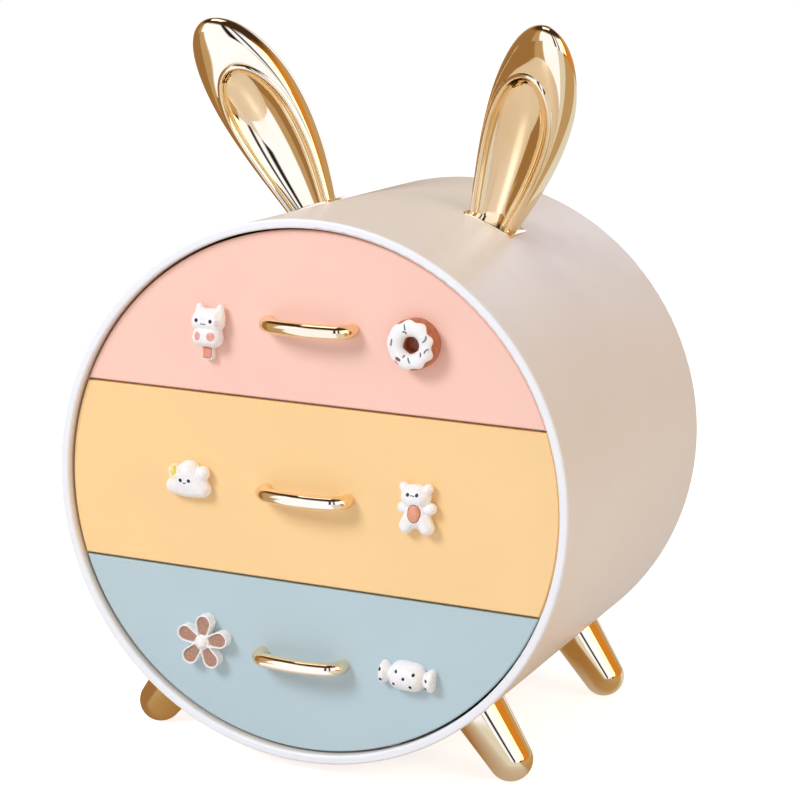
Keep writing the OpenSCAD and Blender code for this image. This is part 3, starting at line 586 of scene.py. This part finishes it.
class Charm:
    """A cast charm, with painted marks that are laid on the skin of its body."""

    def __init__(self, name):
        self.name = name
        row, self.x, self.z = CHARM_PLACE[name]
        self.drawer = row + "_drawer"
        self.skin = None

    def add(self, part, bm, material, slot="cream_resin", sharp=40):
        placed(bm, shifted(self.x, FACE_Y, self.z))
        name = self.name + "_" + part
        piece(name, bm, self.drawer, material, self.name + "_charm", sharp, weld=0.0001)

    def cast(self, bm, voxel, rounds, part="body"):
        """Melts the shapes into one body with a flat back."""
        bm = melted(bm, voxel, rounds)
        cut_flat(bm, (0, 0.05, 0), (0, 1, 0))
        self.skin = BVHTree.FromBMesh(bm)
        self.add(part, bm, CREAM_GLAZE)

    def on_skin(self, x, z, lift):
        hit, normal = self.skin.ray_cast(Vector((x, AHEAD_Y, z)), Vector((0, 1, 0)))[:2]
        if hit is None:
            hit, normal = self.skin.find_nearest(Vector((x, CREST_Y, z)))[:2]
        return hit + normal * lift

    def mark(self, bm, x, z, half_wide, half_tall, tilt=0, curl=0.0, rod=False, square=1.0, proud=0.1):
        """A spot of paint whose rim lies on the skin, and which is squarer as square falls.

        As a rod, it has straight sides and round ends, and it may curl."""
        end = half_wide / half_tall
        for vert in bmesh.ops.create_uvsphere(bm, u_segments=24, v_segments=12, radius=1)["verts"]:
            wide, tall, out = vert.co
            reach = math.sqrt(max(0.0, 1 - tall * tall))
            if square < 1:
                spread = math.hypot(wide, tall) ** (1 - square)
                wide = math.copysign(abs(wide) ** square, wide) * spread
                tall = math.copysign(abs(tall) ** square, tall) * spread
            if rod and reach > 0.001:
                past = max(0.0, (abs(tall) - 1 + end) / end)
                full = math.sqrt(max(0.0, 1 - past * past)) / reach
                wide, out = wide * full, out * full
            wide, tall = wide * half_wide + curl * tall * tall, tall * half_tall
            at_x = x + wide * cos_deg(tilt) - tall * sin_deg(tilt)
            at_z = z + wide * sin_deg(tilt) + tall * cos_deg(tilt)
            vert.co = self.on_skin(at_x, at_z, out * (proud if out > 0 else MARK_ROOT))

    def marks(self, part, material, spots, **how):
        bm = bmesh.new()
        for spot in spots:
            self.mark(bm, *spot, **how)
        self.add(part, bm, material)


def cat():
    charm = Charm("cat")
    belly = [(-2.3, -2.2, 3.1), (2.3, -2.2, 3.1), (2.1, -0.9, 3.1), (-1.9, -0.9, 3.1), (-2.3, -2.2, 3.1)]
    head = [(-2.8, 3.0, 3.1), (2.8, 3.0, 3.1), (2.4, 4.6, 3.0), (-2.0, 4.6, 3.0), (-2.8, 3.0, 3.1)]
    bm = bmesh.new()
    string_of_balls(bm, belly, 2.5)
    string_of_balls(bm, head, 2.5)
    for tip_x, root_x in ((-3.33, -2.6), (4.13, 3.4)):
        string_of_balls(bm, [(root_x, 4.4, 2.5), (tip_x, 8.1, 1.0)], 2.2, 10)
    stick = shifted(0, -1.3, -6.8) @ Matrix.Diagonal((3.4, 2.9, 5.0, 1))
    bmesh.ops.create_cube(bm, size=1, matrix=stick)
    charm.cast(bm, 0.2, 10)
    charm.marks("eyes", INK, [(-2.93, 3.74, 0.62, 0.66), (2.12, 3.71, 0.62, 0.66)])
    mouth = [(-0.88, 2.55, 0.17, 0.52, 90, 0.36), (0.02, 2.55, 0.17, 0.52, 90, 0.36)]
    charm.marks("mouth", TAUPE, mouth, rod=True, proud=0.05)
    charm.marks("cheek", CHEEK_PINK, [(4.15, 3.1, 0.8, 1.15)], proud=0.03)
    charm.marks("pads", PAD_PINK, [(-2.49, -1.35, 1.05, 1.5), (2.24, -1.25, 1.45, 1.5)], proud=0.12)
    charm.marks("stick_edge", BELLY_RIM, [(-0.1, -6.9, 1.62, 2.02)], square=0.35, proud=0.06)
    charm.marks("stick_paint", STICK_ROSE, [(-0.1, -6.9, 1.48, 1.88)], square=0.35, proud=0.12)


def iced(point, ring_r, dough_r, middle):
    """Where a point of a plain thin ring goes on the icing, which lies over the dough."""
    around = math.degrees(math.atan2(point.z, point.x))
    section = math.atan2(-point.y, math.hypot(point.x, point.z) - ring_r)
    # The outer edge hangs in nine lobes, with one bite out of it, and the inner edge in five low ones.
    bite = 26 * math.exp(-((around + 130) / 8) ** 2)
    edge = 34 + 9 * cos_deg(around) + 11 * cos_deg(9 * around + 20) + 4 * sin_deg(4 * around) + bite
    tube = between(158 + 4 * sin_deg(5 * around), edge, (1 + math.cos(section)) / 2)
    height = math.sin(section)
    lift = 0.45 * height ** 0.6 if height > 0 else 0.4 * height
    radius = ring_r + (dough_r + lift) * cos_deg(tube)
    return radius * cos_deg(around), -middle - (dough_r + lift) * sin_deg(tube), radius * sin_deg(around)


def donut():
    charm = Charm("donut")
    ring_r, dough_r, middle = 5.4, 2.8, 3.6
    hole_r, floor_y = ring_r - dough_r + 0.2, -0.6
    foot_r, back_y = ring_r + dough_r - 0.15, 0.05
    bm = bmesh.new()
    inner = bm.verts.new((ring_r - dough_r, -middle, 0))
    outer = swept(bm, [inner], (ring_r, -middle, 0), (0, 0, 1), 180, 32)[0]
    line(bm, [(hole_r, floor_y, 0), (0, floor_y, 0)], inner)
    line(bm, [(foot_r, back_y, 0), (0, back_y, 0)], outer)
    spun(bm, (0, 1, 0), 96)
    charm.add("dough", bm, DOUGH, "dough", 50)

    bm = bmesh.new()
    bmesh.ops.create_circle(bm, radius=1, segments=40, matrix=shifted(ring_r, 0, 0))
    spun(bm, (0, 1, 0), 180)
    for vert in bm.verts:
        vert.co = iced(vert.co, ring_r, dough_r, middle)
    charm.skin = BVHTree.FromBMesh(bm)
    charm.add("icing", bm, CREAM_GLAZE)
    teal = [(-1.7, 5.8, 0.26, 1.0, 12), (-6.0, 0.6, 0.28, 1.15, -6), (5.3, 2.4, 0.26, 1.25, -28, -0.5),
            (5.6, -0.9, 0.26, 1.05, -42, 0.4), (0.0, -4.6, 0.27, 0.95, 24)]
    plum = [(-1.6, 4.2, 0.24, 0.8, 66, -0.2), (3.9, -2.4, 0.25, 0.75, 4), (-1.8, -3.5, 0.22, 0.5, -35),
            (-3.6, -4.5, 0.5, 0.95, 62)]
    charm.marks("sprinkles", TEAL, teal, rod=True, proud=0.28)
    charm.marks("dark_sprinkles", PLUM, plum, rod=True, proud=0.2)


def cloud():
    charm = Charm("cloud")
    bm = bmesh.new()
    left, right, top, middle, foot = ((-4.9, -1.6, 3.0), (5.2, -1.8, 3.0), (0.2, 3.4, 4.0),
                                      (0.1, 0.4, 3.7), (0, -2.2, 3.0))
    string_of_balls(bm, [left, top, right, foot, left], 1.6, 6)
    string_of_balls(bm, [left, middle, right], 1.6, 6)
    string_of_balls(bm, [middle, foot], 1.6)
    add_ball(bm, (5.3, -2.0, 3.5), 2.5)
    add_ball(bm, (-4.6, -1.8, 3.1), 2.6)
    charm.cast(bm, 0.24, 14)
    charm.marks("eyes", INK, [(-1.33, 1.05, 0.6, 0.64), (1.70, 1.14, 0.6, 0.64)])
    charm.marks("smile", INK, [(0.12, 0.18, 0.17, 0.68, 90, 0.38)], rod=True, proud=0.06)
    petals = [(-4.5 + 1.35 * cos_deg(a), 3.6 + 1.9 * sin_deg(a), 0.85, 1.1, a) for a in range(20, 360, 72)]
    charm.marks("blossom_petals", BLOSSOM_EDGE, petals, proud=0.3)
    charm.marks("blossom", BLOSSOM, [(-4.3, 3.7, 1.0, 2.0, 14)], proud=0.55)


def bear():
    charm = Charm("bear")
    bm = bmesh.new()
    head = [(-1.7, 4.3, 3.8), (0.9, 4.4, 3.8), (0.6, 5.1, 3.4), (-1.5, 5.0, 3.4)]
    trunk = [(0.1, 0.6, 4.0), (0.1, -0.9, 4.2), (0.2, -1.9, 4.3)]
    string_of_balls(bm, head, 1.6)
    string_of_balls(bm, trunk, 1.0)
    for ear_x, ear_z in ((-4.4, 7.3), (3.8, 7.4)):
        string_of_balls(bm, [(ear_x * 0.8, ear_z - 1.0, 1.7), (ear_x, ear_z, 1.7)], 1.9)
    for arm in ([(-2.6, 0.4, 1.7), (-4.6, 0.6, 1.9)], [(2.8, 0.5, 1.8), (4.9, 1.1, 2.0)]):
        string_of_balls(bm, arm, 2.0)
    for limb in ([(-2.0, -3.0, 2.6), (-3.2, -5.3, 2.5)], [(2.4, -2.8, 2.7), (3.8, -5.1, 2.6)]):
        string_of_balls(bm, limb, 2.2)
    charm.cast(bm, 0.22, 9)
    charm.marks("eyes", INK, [(-2.0, 5.56, 0.58, 0.63), (1.07, 5.73, 0.58, 0.63)])
    mouth = [(-0.82, 5.35, 0.15, 0.42, 90, 0.28), (-0.1, 5.28, 0.17, 0.48, 78, 0.3)]
    charm.marks("mouth", INK, mouth, rod=True, proud=0.05)
    charm.marks("belly_edge", BELLY_RIM, [(0.12, -0.5, 2.3, 3.05)], proud=0.1)
    charm.marks("belly", BELLY, [(0.12, -0.5, 2.05, 2.8)], proud=0.4)


def teardrop(bm, near, near_r, far, far_r):
    """The outline round two circles on the x axis, as one flat face in the xz plane."""
    change = math.acos((near_r - far_r) / (far - near))
    made = bmesh.ops.create_circle(bm, cap_ends=True, radius=1, segments=72, matrix=turned(90, "X"))["verts"]
    for vert in made:
        a = math.atan2(vert.co.z, vert.co.x)
        middle, radius = (far, far_r) if abs(a) <= change else (near, near_r)
        vert.co = (middle + radius * math.cos(a), 0, radius * math.sin(a))
    return list({face for vert in made for face in vert.link_faces})


def raised(bm, faces, shift):
    """Draws faces out by a shift and returns the ones where they end."""
    moved = bmesh.ops.extrude_face_region(bm, geom=faces)["geom"]
    corners = [item for item in moved if isinstance(item, bmesh.types.BMVert)]
    bmesh.ops.translate(bm, verts=corners, vec=shift)
    return [item for item in moved if isinstance(item, bmesh.types.BMFace)]


def flower():
    charm = Charm("flower")
    petals, first_a = 5, 14
    thick, recess, border = 4.2, 0.9, 0.5
    clay_thick, clay_sunk = 0.25, 0.05
    hub_r, hub_depth = 2.6, 3.9
    bm = bmesh.new()
    clay = bmesh.new()
    for k in range(petals):
        around = turned(-first_a - 360 / petals * k, "Y")
        petal = bmesh.new()
        base = teardrop(petal, near=2.6, near_r=1.9, far=6.6, far_r=2.85)
        top = raised(petal, base, (0, -thick, 0))
        petal.faces.ensure_lookup_table()
        bmesh.ops.inset_region(petal, faces=top, thickness=border, depth=0, use_even_offset=True)
        raised(petal, top, (0, recess, 0))
        bmesh.ops.delete(petal, geom=[face for face in top if face.is_valid], context="FACES")
        bmesh.ops.recalc_face_normals(petal, faces=petal.faces)
        placed(petal, around)
        held = bpy.data.meshes.new("petal")
        petal.to_mesh(held)
        petal.free()
        bm.from_mesh(held)
        bpy.data.meshes.remove(held)

        before = len(clay.verts)
        pad = teardrop(clay, near=3.9, near_r=1.5, far=6.6, far_r=2.4)
        raised(clay, pad, (0, -clay_thick, 0))
        clay.verts.ensure_lookup_table()
        placed(clay, around @ shifted(0, recess - thick + clay_sunk, 0), clay.verts[before:])
    bmesh.ops.create_cone(bm, cap_ends=True, segments=48, radius1=hub_r, radius2=hub_r, depth=hub_depth,
                          matrix=shifted(0, -hub_depth / 2, 0) @ turned(90, "X"))
    add_ball(bm, (0, -3.2, 0), 2.3)
    charm.cast(bm, 0.14, 3, "petals")
    charm.add("clay", clay, CLAY, sharp=60)


def candy():
    charm = Charm("candy")
    lean = turned(3, "Y")
    bm = bmesh.new()
    sweet = [(0.0, 4.9), (2.2, 4.85), (3.6, 4.6), (4.6, 4.15), (5.3, 3.4), (5.65, 2.5)]
    neck, length, pleats, pleat_depth = 6.0, 9.4, 11, 0.035
    frill = [(neck, 2.4), (6.8, 3.1), (7.6, 3.75), (8.5, 3.95), (9.1, 3.6), (length, 2.8), (9.3, 0)]
    half = sweet + frill
    line(bm, [(-x, y, 0) for x, y in reversed(half[1:])] + [(x, y, 0) for x, y in half])
    spun(bm, (1, 0, 0), 72)
    for vert in bm.verts:
        fan = max(0.0, abs(vert.co.x) - neck) / (length - neck)
        pleat = 1 + pleat_depth * fan * math.cos(pleats * math.atan2(vert.co.z, vert.co.y))
        vert.co.y, vert.co.z = vert.co.y * pleat, vert.co.z * pleat
    placed(bm, shifted(0, -0.8, 0) @ lean)
    charm.cast(bm, 0.2, 8)
    dots = [(-8.7, 2.0), (-8.4, -1.4), (-2.6, 2.3), (0.15, 0.3), (-3.4, -2.0),
            (2.45, -2.3), (3.35, 1.9), (7.4, 0.3), (7.15, -2.6)]
    charm.marks("dots", INK, [(x, z, 0.54, 0.57) for x, z in dots], proud=0.06)


for make_charm in (cat, donut, cloud, bear, flower, candy):
    make_charm()


# ---- camera and studio ------------------------------------------------------------------------

CAMERA_TARGET = Vector((0.03254, shell_low.y, 0.12939))
CAMERA_DISTANCE = 0.7736
CAMERA_AZIMUTH = 22.199
CAMERA_ELEVATION = 11.672
CAMERA_ROLL = 1.855
LENS, SENSOR = 110.56, 36


def make_camera():
    """Looks at the target from the right of the drum's front and a little above it."""
    back = Vector((sin_deg(CAMERA_AZIMUTH) * cos_deg(CAMERA_ELEVATION),
                   -cos_deg(CAMERA_AZIMUTH) * cos_deg(CAMERA_ELEVATION), sin_deg(CAMERA_ELEVATION)))
    right = (-back).cross(Vector((0, 0, 1))).normalized()
    up = right.cross(-back)
    across = right * cos_deg(CAMERA_ROLL) + up * sin_deg(CAMERA_ROLL)
    upward = up * cos_deg(CAMERA_ROLL) - right * sin_deg(CAMERA_ROLL)
    data = bpy.data.cameras.new("camera")
    data.sensor_width = SENSOR
    data.lens = LENS
    data.clip_start, data.clip_end = 0.05, 20
    camera = bpy.data.objects.new("camera", data)
    bpy.context.scene.collection.objects.link(camera)
    turn = Matrix((across, upward, back)).transposed().to_4x4()
    camera.matrix_world = Matrix.Translation(CAMERA_TARGET + back * CAMERA_DISTANCE) @ turn
    bpy.context.scene.camera = camera


def softbox(name, place, target, size, power, colour=(1, 1, 1)):
    data = bpy.data.lights.new(name, "AREA")
    data.shape = "RECTANGLE"
    data.size, data.size_y = size
    data.energy = power
    data.color = colour
    lamp = bpy.data.objects.new(name, data)
    bpy.context.scene.collection.objects.link(lamp)
    lamp.location = place
    lamp.rotation_euler = (Vector(target) - Vector(place)).to_track_quat("-Z", "Y").to_euler()


def staged(name, bm, material):
    """Finishes a shape of the studio, which isn't a piece of the object."""
    mesh = bpy.data.meshes.new(name)
    bm.to_mesh(mesh)
    bm.free()
    mesh.materials.append(material)
    obj = bpy.data.objects.new(name, mesh)
    bpy.context.scene.collection.objects.link(obj)
    return obj


# The colours of the card. Only reflections see it, so its white may be brighter than paper.
BLACK = (0.02, 0.015, 0.01, 1)
BROWN = (0.36, 0.2, 0.08, 1)
ORANGE = (0.7, 0.27, 0.035, 1)
TAN = (0.54, 0.38, 0.21, 1)
BEIGE = (0.78, 0.79, 0.8, 1)
WHITE = (1.15, 1.28, 1.75, 1)
# What stands and lies around the drum, from its left side by way of the front, right and back: where
# each band of card ends, in degrees to the right of the front, and its colour.
WALL = [(-62, BROWN), (-44, TAN), (16, WHITE), (27, BLACK), (37, WHITE), (45, BLACK), (66, WHITE),
        (77, BLACK), (134, ORANGE), (162, TAN), (186, WHITE), (226, TAN), (270, BROWN)]
GROUND = [(-53, BROWN), (-34, TAN), (26, WHITE), (62, BEIGE), (128, TAN), (200, BEIGE), (232, TAN),
          (270, BROWN)]
CEILING = (0.06, 0.03, 0.015, 1)
# Painted shade: the floor shadowed by the drum, as the legs' reflections see it.
PAINTED_SHADE_UNDER_DRUM = (0.38, 0.2, 0.07, 1)
STUDIO_R = 1.7
FRONT_SHARE = 0.25  # the share of its turn at which a radial gradient passes the front
BAND_BLUR = 1.5  # half of the soft edge between two bands, in degrees


def point_height(finish):
    split = finish.nodes.new("ShaderNodeSeparateXYZ")
    finish.join(finish.place, split.inputs["Vector"])
    return split.outputs["Z"]


def point_distance(finish):
    length = finish.nodes.new("ShaderNodeVectorMath")
    length.operation = "LENGTH"
    finish.join(finish.place, length.inputs[0])
    return length.outputs["Value"]


def banded(name, bands, measure, near, far, other):
    """Card in upright bands, which give way to another colour as a measure goes from near to far."""
    finish = Finish(name)
    around = finish.nodes.new("ShaderNodeTexGradient")
    around.gradient_type = "RADIAL"
    finish.join(finish.place, around.inputs["Vector"])
    ramp = finish.nodes.new("ShaderNodeValToRGB")
    finish.join(around.outputs["Fac"], ramp.inputs["Fac"])
    stops = ramp.color_ramp.elements
    stops[0].position, stops[0].color = 0, bands[0][1]
    stops.remove(stops[1])
    for (end, colour), (_, following) in zip(bands, bands[1:]):
        stops.new(FRONT_SHARE + (end - BAND_BLUR) / 360).color = colour
        stops.new(FRONT_SHARE + (end + BAND_BLUR) / 360).color = following
    fade = finish.ranged(measure(finish), near, far, 0, 1)
    glow = finish.nodes.new("ShaderNodeEmission")
    finish.join(finish.mixed(fade, ramp.outputs["Color"], other), glow.inputs["Color"])
    finish.nodes.remove(finish.shader)
    finish.join(glow.outputs["Emission"], finish.nodes["Material Output"].inputs["Surface"])
    return finish.material


def mirrored_only(obj):
    """Leaves a card to reflections: it is not seen, lights nothing and throws no shadow."""
    obj.visible_camera = obj.visible_diffuse = obj.visible_shadow = False
    obj.visible_transmission = False


def make_wall():
    bm = bmesh.new()
    bmesh.ops.create_uvsphere(bm, u_segments=64, v_segments=32, radius=STUDIO_R)
    bmesh.ops.reverse_faces(bm, faces=bm.faces)
    card = banded("wall_card", WALL, point_height, near=1.0, far=1.3, other=CEILING)
    mirrored_only(staged("wall", bm, card))


def make_ground():
    bm = bmesh.new()
    bmesh.ops.create_circle(bm, cap_ends=True, segments=64, radius=STUDIO_R, matrix=shifted(0, 0, 0.0004))
    # Near the middle the card turns to painted shade, which stands in for the shadowed floor under the drum
    # in reflections.
    card = banded("ground_card", GROUND, point_distance, near=0.11, far=0.06, other=PAINTED_SHADE_UNDER_DRUM)
    mirrored_only(staged("ground", bm, card))


def make_floor():
    """Matt paper that the camera sees as white, and that mirrors see as fairly bright."""
    seen_glow, mirrored_glow = 0.74, 0.3
    finish = Finish("floor_paper")
    paper = finish.shader
    paper.inputs["Base Color"].default_value = (0.8, 0.76, 0.72, 1)
    paper.inputs["Roughness"].default_value = 0.9
    paper.inputs["Specular IOR Level"].default_value = 0.0
    path = finish.nodes.new("ShaderNodeLightPath")
    mirrored = finish.nodes.new("ShaderNodeMath")
    mirrored.operation = "MULTIPLY"
    mirrored.inputs[1].default_value = mirrored_glow
    finish.join(path.outputs["Is Glossy Ray"], mirrored.inputs[0])
    glow = finish.nodes.new("ShaderNodeMath")
    glow.operation = "MULTIPLY_ADD"
    glow.inputs[1].default_value = seen_glow
    finish.join(path.outputs["Is Camera Ray"], glow.inputs[0])
    finish.join(mirrored.outputs["Value"], glow.inputs[2])
    paper.inputs["Emission Color"].default_value = (1, 1, 1, 1)
    finish.join(glow.outputs["Value"], paper.inputs["Emission Strength"])
    bm = bmesh.new()
    bmesh.ops.create_grid(bm, x_segments=1, y_segments=1, size=4)
    staged("floor", bm, finish.material)


def make_world():
    """White where the camera, a mirror or glass sees it, and a plain soft grey as light."""
    world = bpy.data.worlds.new("studio")
    world.use_nodes = True
    bpy.context.scene.world = world
    nodes, links = world.node_tree.nodes, world.node_tree.links
    nodes.clear()
    path = nodes.new("ShaderNodeLightPath")
    seen = path.outputs["Is Camera Ray"]
    for ray in ("Is Glossy Ray", "Is Transmission Ray"):
        either = nodes.new("ShaderNodeMath")
        either.operation = "MAXIMUM"
        links.new(seen, either.inputs[0])
        links.new(path.outputs[ray], either.inputs[1])
        seen = either.outputs["Value"]
    mix = nodes.new("ShaderNodeMixShader")
    links.new(seen, mix.inputs["Fac"])
    as_light, as_seen = ((1.03, 0.98, 0.94, 1), 0.44), ((1, 1, 1, 1), 1.0)
    for socket, (colour, strength) in ((1, as_light), (2, as_seen)):
        light = nodes.new("ShaderNodeBackground")
        light.inputs["Color"].default_value = colour
        light.inputs["Strength"].default_value = strength
        links.new(light.outputs["Background"], mix.inputs[socket])
    out = nodes.new("ShaderNodeOutputWorld")
    links.new(mix.outputs["Shader"], out.inputs["Surface"])


make_camera()
make_floor()
make_world()
softbox("key_light", place=(-0.8, -1.2, 1.1), target=(0, 0, 0.12), size=(0.6, 0.6), power=16,
        colour=(0.95, 1, 1.09))
softbox("side_light", place=(1.3, -0.3, 0.6), target=(0, 0, 0.1), size=(0.6, 0.9), power=4.6,
        colour=(1, 0.76, 0.52))
softbox("top_light", place=(-0.2, 0.0, 1.5), target=(0, 0, 0.1), size=(0.7, 0.7), power=2.6)
make_wall()
make_ground()
bpy.context.scene.view_settings.view_transform = "Standard"
